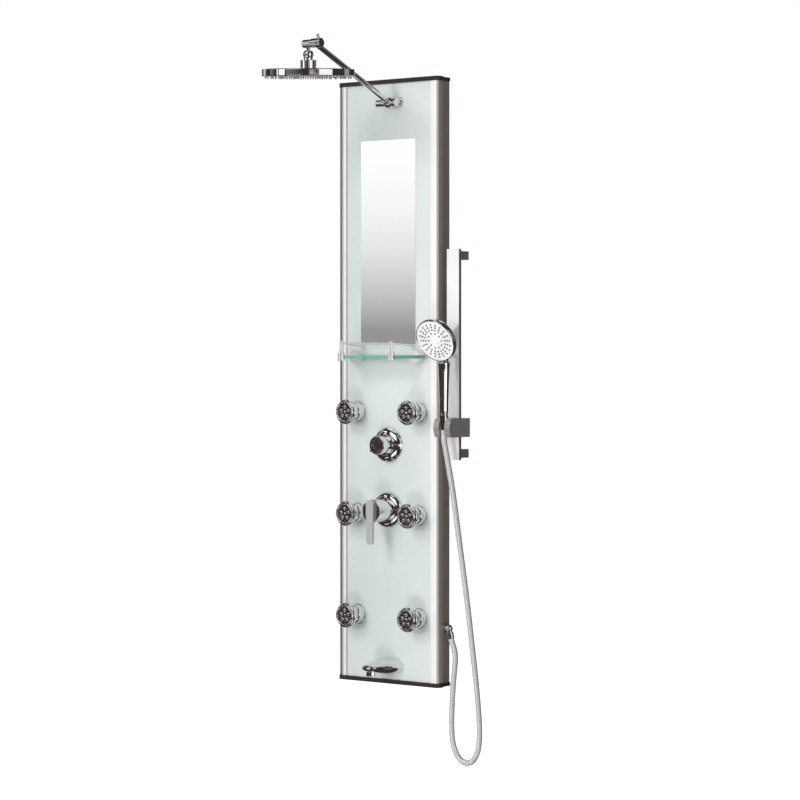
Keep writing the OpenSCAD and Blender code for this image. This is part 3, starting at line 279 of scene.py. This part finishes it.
def brass_body():
    s = Shade("brass", "#b9974f", 0.35, 1.0)
    s.set("Base Color", s.ramp(s.noise(40.0, 5.0), 0.3, 0.75, "#96793e", "#c8a864"))
    s.set("Roughness", s.grey(s.noise(120.0, 4.0), 0.3, 0.7, 0.28, 0.5))
    s.set("Normal", s.bump(s.noise(800.0, 3.0), 0.15, 0.0002, s.rounded(0.0004)))
    return s.mat


def hose_steel():
    s = Shade("hose_steel", "#eceded", 0.22, 0.55)
    s.set("Roughness", s.grey(s.noise(300.0, 3.0), 0.3, 0.7, 0.15, 0.3))
    return s.mat


# The grain of a brushed surface: even, or drawn out along the height
EVEN = (1, 1, 1)
DRAWN = (1, 1, 0.03)
CHROME = chrome("chrome", "#e4e5e7", 0.06)
PETALS = chrome("petal_chrome", "#dad6d4", 0.1)
looks = {
    "tray_grey": tray_metal(),
    # The trims' sides get painted shade from their darker side colour.
    "aluminium_trim": aluminium("aluminium_trim", "#fdfdfc", "#b8b2ad", 0.3, 0.25),
    "frosted_glass": frosted_glass(),
    "mirror_silver": mirror_face(),
    "dark_plastic": plastic("dark_plastic", "#2e2926", 0.32, 1200.0, 0.05),
    "zinc_steel": satin("zinc_steel", "#a9abad", 0.35, EVEN, 0.1),
    "green_glass": shelf_glass(),
    "chrome": CHROME,
    "satin_chrome": satin("satin_chrome", "#c6c7c7", 0.3, DRAWN, 0.06, 0.45),
    "acetal": plastic("acetal", "#e4e0d3", 0.4),
    "nozzle_rubber": plastic("nozzle_rubber", "#9a9da0", 0.5, 2000.0, 0.1),
    "washer_rubber": plastic("washer_rubber", "#232323", 0.6, 2000.0, 0.1),
    "brass": brass_body(),
    "face_white": plastic("face_white", "#f0efef", 0.28, 1500.0, 0.03),
    "face_rubber": plastic("face_rubber", "#1c1b1f", 0.75, 2500.0, 0.08),
    "copper": copper_pipe(),
    "hose_steel": hose_steel(),
    "bar_side": satin("bar_side", "#8d857e", 0.35, DRAWN, 0.12, 0.3),
}

# A few nodes look different from the others in their slot
PALE_CHROME = satin("pale_chrome", "#efeeec", 0.16, EVEN, 0.02, 0.65)
own_looks = {
    "shelf_rail": PALE_CHROME,
    "shelf_posts": PALE_CHROME,
    "shelf_clamps": PALE_CHROME,
    # The slide bar's sides get painted shade from their darker side colour.
    "slide_bar": aluminium("bar_front", "#fbfbfa", "#8d857f", 0.15, 0.5),
    "slider_block": satin("slider_satin", "#c2c2c0", 0.28, DRAWN, 0.04, 0.7),
    # The left trim also gets painted shade along its outer edge.
    "left_profile": aluminium("painted_shade_trim", "#fdfdfc", "#7f7873", painted_edge_shade=(-0.1395, -0.1295)),
}
slot_of = {row["node"]: row["material_slot"] for row in frame["record"]["subparts"]}
for name, obj in nodes.items():
    look_of = own_looks.get(name, looks[slot_of[name]])
    if not obj.material_slots:
        obj.data.materials.append(look_of)
    for place in obj.material_slots:
        place.material = look_of


# Helpers for meshes
MERGE_DIST = 0.000002
SHARP_ANGLE = math.radians(38)


def mesh_piece(name, verts, faces, material, body):
    """A smooth piece with closed seams. It rides on the body, if one is given."""
    mesh = bpy.data.meshes.new(name)
    mesh.from_pydata([tuple(v) for v in verts], [], faces)
    work = bmesh.new()
    work.from_mesh(mesh)
    bmesh.ops.remove_doubles(work, verts=work.verts, dist=MERGE_DIST)
    bmesh.ops.recalc_face_normals(work, faces=work.faces)
    work.to_mesh(mesh)
    work.free()
    obj = add_object(name, mesh)
    mesh.materials.append(material)
    mesh.shade_smooth()
    mesh.set_sharp_from_angle(angle=SHARP_ANGLE)
    if body:
        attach(obj, body)
    return obj


def ring_faces(rings, sides):
    """Faces between rings of points, each with the same number of sides."""
    faces = []
    for r in range(rings - 1):
        for k in range(sides):
            n = (k + 1) % sides
            faces.append((r * sides + k, r * sides + n, (r + 1) * sides + n, (r + 1) * sides + k))
    return faces


def lathe(profile, place, sides):
    """Verts and faces of a turned shape. The profile is (radius, along) pairs, and place is a matrix."""
    verts = []
    for radius, reach in profile:
        for k in range(sides):
            a = 2 * math.pi * k / sides
            verts.append(place @ Vector((radius * math.cos(a), radius * math.sin(a), reach)))
    return verts, ring_faces(len(profile), sides)


def joined(parts):
    """Verts and faces of several shapes as one."""
    verts, faces = [], []
    for v, f in parts:
        start = len(verts)
        verts += v
        faces += [tuple(i + start for i in face) for face in f]
    return verts, faces


def arc(cx, cy, r, start, end, steps):
    angles = [math.radians(start + (end - start) * k / steps) for k in range(steps + 1)]
    return [(cx + r * math.cos(a), cy + r * math.sin(a)) for a in angles]


def out_of_wall(x, y, z):
    """A matrix whose Z runs out of the panel towards the viewer."""
    return Matrix.Translation((x, y, z)) @ Matrix.Rotation(math.radians(90), 4, "X")


# The hose, with the same route as in the source, in millimetres
HOSE_ROUTE = [(183, -72, -125), (184.5, -72, -138), (189.5, -72, -160), (198, -72, -200),
              (208, -72, -250), (218, -72, -310), (229, -72, -378), (240, -72, -445), (250, -72, -510),
              (259, -72, -575), (268, -72, -640), (276, -72, -705), (281, -71.5, -765), (281, -71, -799),
              (273, -67, -831), (252, -58, -855), (222, -44, -863), (193, -31, -855), (172, -22, -831),
              (164, -18, -799), (163, -17, -762), (164, -16, -725), (167, -16, -685), (171, -16, -650),
              (172, -16, -627), (168, -16, -608)]
ROUTE_TOP = Vector((183, -72, -109))
ROUTE_END = Vector((160, -16, -589))
HOSE_TOP = Vector((183, -72, -108.6))
ELBOW_AT = Vector((155, -16, -565))
ELBOW_RUN = Vector((6.5, 0, -24))
ELBOW_GAP = 0.4
HOSE_END = ELBOW_AT + (1 + ELBOW_GAP / ELBOW_RUN.length) * ELBOW_RUN

# Its thickness in metres, and how finely it is made
HOSE_D = 0.0135
HOSE_SIDES = 20
ROUTE_STEPS = 14
HOSE_RIBS = 330

# The rings of each rib, as shares of the full radius, and the plain rings at both ends
RIB_RINGS = (0.86, 0.97, 1.0, 0.95)
PLAIN_RING = 0.97
PLAIN_RINGS = 10


def smooth_line(points, steps):
    """A smooth line through points in millimetres, given in metres."""
    pts = [Vector(p) * 0.001 for p in points]
    pts = [2 * pts[0] - pts[1]] + pts + [2 * pts[-1] - pts[-2]]
    out = []
    for k in range(1, len(pts) - 2):
        a, b, c, d = pts[k - 1:k + 3]
        for j in range(steps):
            t = j / steps
            out.append(0.5 * ((2 * b) + (c - a) * t + (2 * a - 5 * b + 4 * c - d) * t * t
                              + (3 * b - a - 3 * c + d) * t ** 3))
    out.append(pts[-2])
    return out


def along(line, count):
    """Evenly spaced points on a line, and its length."""
    lengths = [0.0]
    for a, b in zip(line, line[1:]):
        lengths.append(lengths[-1] + (b - a).length)
    out, k = [], 0
    for i in range(count):
        s = lengths[-1] * i / (count - 1)
        while k < len(line) - 2 and lengths[k + 1] < s:
            k += 1
        t = (s - lengths[k]) / max(lengths[k + 1] - lengths[k], 1e-9)
        out.append(line[k].lerp(line[k + 1], min(max(t, 0), 1)))
    return out, lengths[-1]


def eased_route():
    """The route with its ends moved onto the hose's two fittings."""
    steps = len(HOSE_ROUTE) - 1
    top_shift = HOSE_TOP - ROUTE_TOP
    end_shift = HOSE_END - ROUTE_END
    middle = []
    for k, point in enumerate(HOSE_ROUTE):
        middle.append(Vector(point) + (1 - k / steps) * top_shift + k / steps * end_shift)
    return [HOSE_TOP] + middle + [HOSE_END]


def ribbed_tube(line):
    """Verts and faces of a closed tube along the line, ribbed except at its ends."""
    verts = []
    last = len(line) - 1
    for i, p in enumerate(line):
        t = (line[min(i + 2, last)] - line[max(i - 2, 0)]).normalized()
        e = t.cross(Vector((0, 1, 0))).normalized()
        f = t.cross(e)
        plain = min(i, last - i) < PLAIN_RINGS
        r = HOSE_D / 2 * (PLAIN_RING if plain else RIB_RINGS[i % len(RIB_RINGS)])
        for k in range(HOSE_SIDES):
            a = 2 * math.pi * k / HOSE_SIDES
            verts.append(p + r * (math.cos(a) * e + math.sin(a) * f))
    faces = ring_faces(len(line), HOSE_SIDES)
    faces.append(tuple(range(HOSE_SIDES)))
    faces.append(tuple(range(last * HOSE_SIDES, (last + 1) * HOSE_SIDES)))
    return verts, faces


hose_line, HOSE_LENGTH = along(smooth_line(eased_route(), ROUTE_STEPS), HOSE_RIBS * len(RIB_RINGS) + 1)
v, f = ribbed_tube(hose_line)
hose = mesh_piece("ribbed_hose", v, f, looks["hose_steel"], None)
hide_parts("hand_hose")
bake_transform(hose)

# The six jets get their turned heads, with a dark dish, petals around a hub, and pins between them
JET_X, JET_TOP, JET_PITCH = 0.090, -0.071, 0.2365
JETS_A_SIDE = 3
GLASS = -0.042
DISH = plastic("dish_black", "#14110f", 0.18, 1500.0, 0.03, 0.6)
DISH_OUT = 0.0492

# Radius and distance from the glass, or height over the dish for petals, hub and pins
SHELL_LINE = (
    [(0.0025, 0.0065), (0.006, 0.0063)]
    + arc(0, 0.020, 0.015, -62, 48, 12)
    + [(0.0112, 0.0325), (0.0125, 0.0345), (0.0150, 0.0356), (0.0215, 0.0362)]
    + arc(0.0228, 0.0412, 0.0050, -90, -12, 6)
    + arc(0.0247, 0.0450, 0.0040, -50, 90, 12)
    + [(0.0236, 0.0488), (0.0232, 0.0496)]
    + arc(0.0218, 0.0512, 0.0026, -10, 150, 10)
    + [(0.0192, 0.0506), (0.0188, 0.0492), (0.0, 0.0490)]
)
DISH_LINE = [(0.0186, 0.0494), (0.0176, 0.0500), (0.0166, 0.0497), (0.0150, 0.0493), (0.0, DISH_OUT)]
PETAL_LINE = [(0.0056, 0.0), (0.0055, 0.0014), (0.0047, 0.0030), (0.0028, 0.0041), (0.0, 0.0045)]
HUB_LINE = [(0.0044, 0.0), (0.0044, 0.0016), (0.0036, 0.0026), (0.0016, 0.0028), (0.0, 0.0028)]
PIN_LINE = [(0.0016, 0.0), (0.0015, 0.0010), (0.0, 0.0013)]
PETAL_COUNT = 5
PETAL_REACH = 0.0112
PETAL_STRETCH = (1.06, 0.94, 1.0, 1.0)
PIN_REACH = 0.0150


def petal_angle(k):
    return math.radians(90 + 360 / PETAL_COUNT * k)


def on_dish(place, reach, angle):
    return place @ Matrix.Translation((reach * math.cos(angle), reach * math.sin(angle), DISH_OUT))


def jet_head(number):
    """Shell, dish and petals of one jet, counted down the left side and then down the right."""
    x = -JET_X if number <= JETS_A_SIDE else JET_X
    z = JET_TOP - ((number - 1) % JETS_A_SIDE) * JET_PITCH
    place = out_of_wall(x, GLASS, z)
    body = "head_%d" % number
    v, f = lathe(SHELL_LINE, place, sides=72)
    head = mesh_piece("jet_%d_shell" % number, v, f, CHROME, body)
    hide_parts("jet_%d_head" % number)
    v, f = lathe(DISH_LINE, place, sides=48)
    piece = mesh_piece("jet_%d_dish" % number, v, f, DISH, body)
    parts = []
    for k in range(PETAL_COUNT):
        a = petal_angle(k)
        spot = on_dish(place, PETAL_REACH, a) @ Matrix.Rotation(a, 4, "Z") @ Matrix.Diagonal(PETAL_STRETCH)
        parts.append(lathe(PETAL_LINE, spot, sides=20))
    parts.append(lathe(HUB_LINE, on_dish(place, 0, 0), sides=24))
    for k in range(PETAL_COUNT):
        between = petal_angle(k + 0.5)
        parts.append(lathe(PIN_LINE, on_dish(place, PIN_REACH, between), sides=12))
    v, f = joined(parts)
    piece = mesh_piece("jet_%d_petals" % number, v, f, PETALS, body)


for number in range(1, 2 * JETS_A_SIDE + 1):
    jet_head(number)

# The hand shower's grip swells towards a bell under the head
HAND_X = 0.183
GRIP_Y = -0.072
GRIP_LINE = [(0.0080, -0.0712), (0.0100, -0.0706), (0.0104, -0.066), (0.0110, -0.035), (0.0119, -0.005),
             (0.0127, 0.018), (0.0135, 0.033), (0.0143, 0.0405), (0.0145, 0.0432), (0.0138, 0.0452),
             (0.0118, 0.0470), (0.0090, 0.0480)]
v, f = lathe(GRIP_LINE, Matrix.Translation((HAND_X, GRIP_Y, 0.0)), sides=56)
grip = mesh_piece("hand_grip", v, f, CHROME, "handset")

# Its head has a rolled chrome rim, and dark studs on the white face in three full rings and an inner one
HEAD_AT = (HAND_X, -0.105, 0.0935)
HEAD_TILT = 26.0
FACE_R = 0.050
RIM_LINE = [(0.0487, 0.0012), (0.0488, -0.0008), (0.0493, -0.0018), (0.0501, -0.0021), (0.0509, -0.0016),
            (0.0515, -0.0004), (0.0518, 0.0014), (0.0518, 0.0050), (0.0513, 0.0080), (0.0503, 0.0098),
            (0.0495, 0.0102)]
STUD_LINE = [(0.0019, 0.0002), (0.0018, -0.0007), (0.0012, -0.0013), (0.0, -0.0015)]
OUTER_SHARES = (0.54, 0.67, 0.80)
OUTER_STUDS = 20
INNER_SHARE = 0.36
INNER_STUDS = 10
head_place = Matrix.Translation(HEAD_AT) @ Matrix.Rotation(math.radians(HEAD_TILT - 90), 4, "X")
v, f = lathe(RIM_LINE, head_place, sides=96)
rim = mesh_piece("hand_rim", v, f, CHROME, "handset")
spots = [(share * FACE_R, 360 / OUTER_STUDS * k) for k in range(OUTER_STUDS) for share in OUTER_SHARES]
spots += [(INNER_SHARE * FACE_R, 360 / INNER_STUDS * k) for k in range(INNER_STUDS)]
studs = []
for reach, angle in spots:
    turn = math.radians(angle)
    at = Matrix.Translation((reach * math.cos(turn), reach * math.sin(turn), 0.0))
    studs.append(lathe(STUD_LINE, head_place @ at, sides=12))
v, f = joined(studs)
piece = mesh_piece("spray_studs", v, f, looks["face_rubber"], "hand_spray")

# The stage: a floor far below the panel, which the eye sees as white and a little greyer in its middle
FLOOR_Z = -1.15
FLOOR_HALF = 9.0
CORNERS = ((-1, -1), (1, -1), (1, 1), (-1, 1))
floor_shade = Shade("floor", "#bdbdbd", 0.8)
floor_shade.set("Specular IOR Level", 0.0)
rays = floor_shade.node("ShaderNodeLightPath").outputs
seen_floor = floor_shade.calc("MAXIMUM", rays["Is Camera Ray"], rays["Is Transmission Ray"])
middle_away = floor_shade.node("ShaderNodeVectorMath", operation="LENGTH", Vector=floor_shade.place())
glow = floor_shade.grey(middle_away.outputs["Value"], 0.5, 1.5, 0.62, 0.95)
floor_shade.set("Emission Color", WHITE)
floor_shade.set("Emission Strength", floor_shade.calc("MULTIPLY", seen_floor, glow))
mesh = bpy.data.meshes.new("floor")
mesh.from_pydata([(x * FLOOR_HALF, y * FLOOR_HALF, 0.0) for x, y in CORNERS], [], QUAD)
mesh.materials.append(floor_shade.mat)
floor = add_object("floor", mesh)
floor.location = (0.0, 0.0, FLOOR_Z)
floor.visible_glossy = False
floor.visible_shadow = False

# The studio: white for the eye, and a dark brown room with a few soft boxes for what is polished
world = bpy.data.worlds.new("studio")
bpy.context.scene.world = world
world.use_nodes = True
world.node_tree.nodes.clear()
studio = Nodes(world.node_tree)
way = studio.node("ShaderNodeSeparateXYZ", studio.node("ShaderNodeTexCoord").outputs["Generated"]).outputs
to_front = studio.calc("MULTIPLY", way["Y"], -1.0)
azimuth = studio.calc("ARCTAN2", way["X"], to_front)


def eased(value, start, end):
    """Zero at the start and one at the end, smooth between them and level beyond."""
    made = studio.node("ShaderNodeMapRange", value, start, end, 0.0, 1.0, interpolation_type="SMOOTHSTEP")
    return made.outputs["Result"]


def soft_box(turn, wide, low, high, strength, soft=0.05):
    """Brightness of a soft box. Turn is in degrees from the front, to the right of the viewer."""
    away = studio.calc("SUBTRACT", azimuth, math.radians(turn))
    off = studio.calc("ABSOLUTE", studio.calc("WRAP", away, math.pi, -math.pi))
    half = math.radians(wide) / 2
    across = eased(off, half + soft, half)
    upright = studio.calc("MULTIPLY", eased(way["Z"], low - soft, low), eased(way["Z"], high + soft, high))
    return studio.calc("MULTIPLY", studio.calc("MULTIPLY", across, upright), strength)


def background(color, strength):
    return studio.node("ShaderNodeBackground", color, strength).outputs[0]


# Each soft box: turn, width, lowest and highest rise, brightness, and softness where it isn't the usual
SOFT_BOXES = [
    (72, 58, -0.035, 0.03, 1.15, 0.01),
    (72, 58, -0.13, -0.062, 1.15, 0.008),
    (81, 28, 0.04, 0.55, 1.1, 0.01),
    (81, 28, -0.35, -0.045, 1.1, 0.01),
    (5, 44, -0.035, 0.02, 0.14, 0.01),
    (0, 42, 0.3, 0.68, 1.5),
    (4, 40, -0.68, -0.42, 1.3),
    (-29.2, 14.8, -0.035, 0.035, 1.9, 0.010),
    (-60, 14, 0.07, 0.4, 0.4),
    (-44, 12, 0.48, 0.56, 2.0, 0.02),
    (-38, 12, -0.53, -0.47, 1.6, 0.02),
    (-10, 40, 0.9, 0.97, 1.4),
    (-100, 14, -0.2, 0.5, 0.6),
    (152, 16, 0.0, 0.5, 0.3),
    (-142, 20, -0.3, 0.3, 1.0),
]
ROOM = (0.046, 0.034, 0.028, 1.0)
# Plain light for what isn't polished: all around, and added to it from the front
DOME, DOME_FRONT = 0.15, 1.3
total = 0.0
for spec in SOFT_BOXES:
    total = studio.calc("ADD", total, soft_box(*spec))
polished = studio.node("ShaderNodeAddShader", background(ROOM, 1.0), background(WHITE, total)).outputs[0]
towards = studio.calc("MAXIMUM", to_front, 0.0)
dome = studio.calc("MULTIPLY_ADD", studio.calc("MULTIPLY", towards, towards), DOME_FRONT, DOME)
rays = studio.node("ShaderNodeLightPath").outputs
lit = studio.node("ShaderNodeMixShader", rays["Is Glossy Ray"], background(WHITE, dome), polished)
seen = studio.calc("MAXIMUM", rays["Is Camera Ray"], rays["Is Transmission Ray"])
shown = studio.node("ShaderNodeMixShader", seen, lit.outputs[0], background(WHITE, 1.0))
studio.node("ShaderNodeOutputWorld", Surface=shown.outputs[0])

# Four soft lamps aimed at the panel's middle: name, place, size and watts
LAMPS = [
    ("front", (0.0, -4.2, 0.3), (1.0, 1.0), 48),
    ("upper", (-0.3, -3.9, 2.2), (0.9, 0.9), 40),
    ("lower", (0.7, -3.4, -2.3), (0.9, 0.9), 33),
    ("behind", (-1.6, 3.0, 1.2), (1.2, 1.6), 45),
]
for name, place, size, power in LAMPS:
    data = bpy.data.lights.new(name, "AREA")
    data.shape = "RECTANGLE"
    data.size, data.size_y = size
    data.energy = power
    lamp = add_object(name, data)
    lamp.location = place
    lamp.rotation_euler = (Vector() - Vector(place)).to_track_quat("-Z", "Y").to_euler()
    lamp.visible_glossy = False

# What the polished mirror shows: a narrow card in front of it, grey below and white above
CARD_X, CARD_Y = -1.95, -2.54
CARD_HALF = 0.125
CARD_HEIGHT = 1.2
CARD_STRENGTH = 1.15
# Height over the card's foot and brightness, from the bottom up
FADE = [(0.142, 0.30), (0.261, 0.54), (0.425, 0.79), (0.563, 0.92), (0.737, 1.0)]
step_x, step_y = CARD_HALF * math.cos(CAM_TURN), CARD_HALF * math.sin(CAM_TURN)
card = bpy.data.meshes.new("mirror_card")
card.from_pydata([(CARD_X + side * step_x, CARD_Y - side * step_y, level)
                  for side, level in ((-1, 0.0), (1, 0.0), (1, CARD_HEIGHT), (-1, CARD_HEIGHT))], [], QUAD)
card_shade = Shade("mirror_card", "#000000", 1.0)
card_shade.set("Specular IOR Level", 0.0)
height = card_shade.grey(card_shade.axis("Z", card_shade.place()), 0.0, CARD_HEIGHT, 0.0, 1.0)
fade = card_shade.node("ShaderNodeValToRGB", Fac=height)
stops = fade.color_ramp.elements
for index, (level, tone) in enumerate(FADE):
    stop = stops[index] if index < 2 else stops.new(1.0)
    stop.position = level / CARD_HEIGHT
    stop.color = (tone, tone, tone, 1.0)
card_shade.set("Emission Color", fade.outputs["Color"])
card_shade.set("Emission Strength", CARD_STRENGTH)
card.materials.append(card_shade.mat)
card_obj = add_object("mirror_card", card)
card_obj.visible_camera = False
card_obj.visible_diffuse = False
card_obj.visible_shadow = False

bpy.context.scene.view_settings.view_transform = "Standard"
bpy.context.view_layer.update()
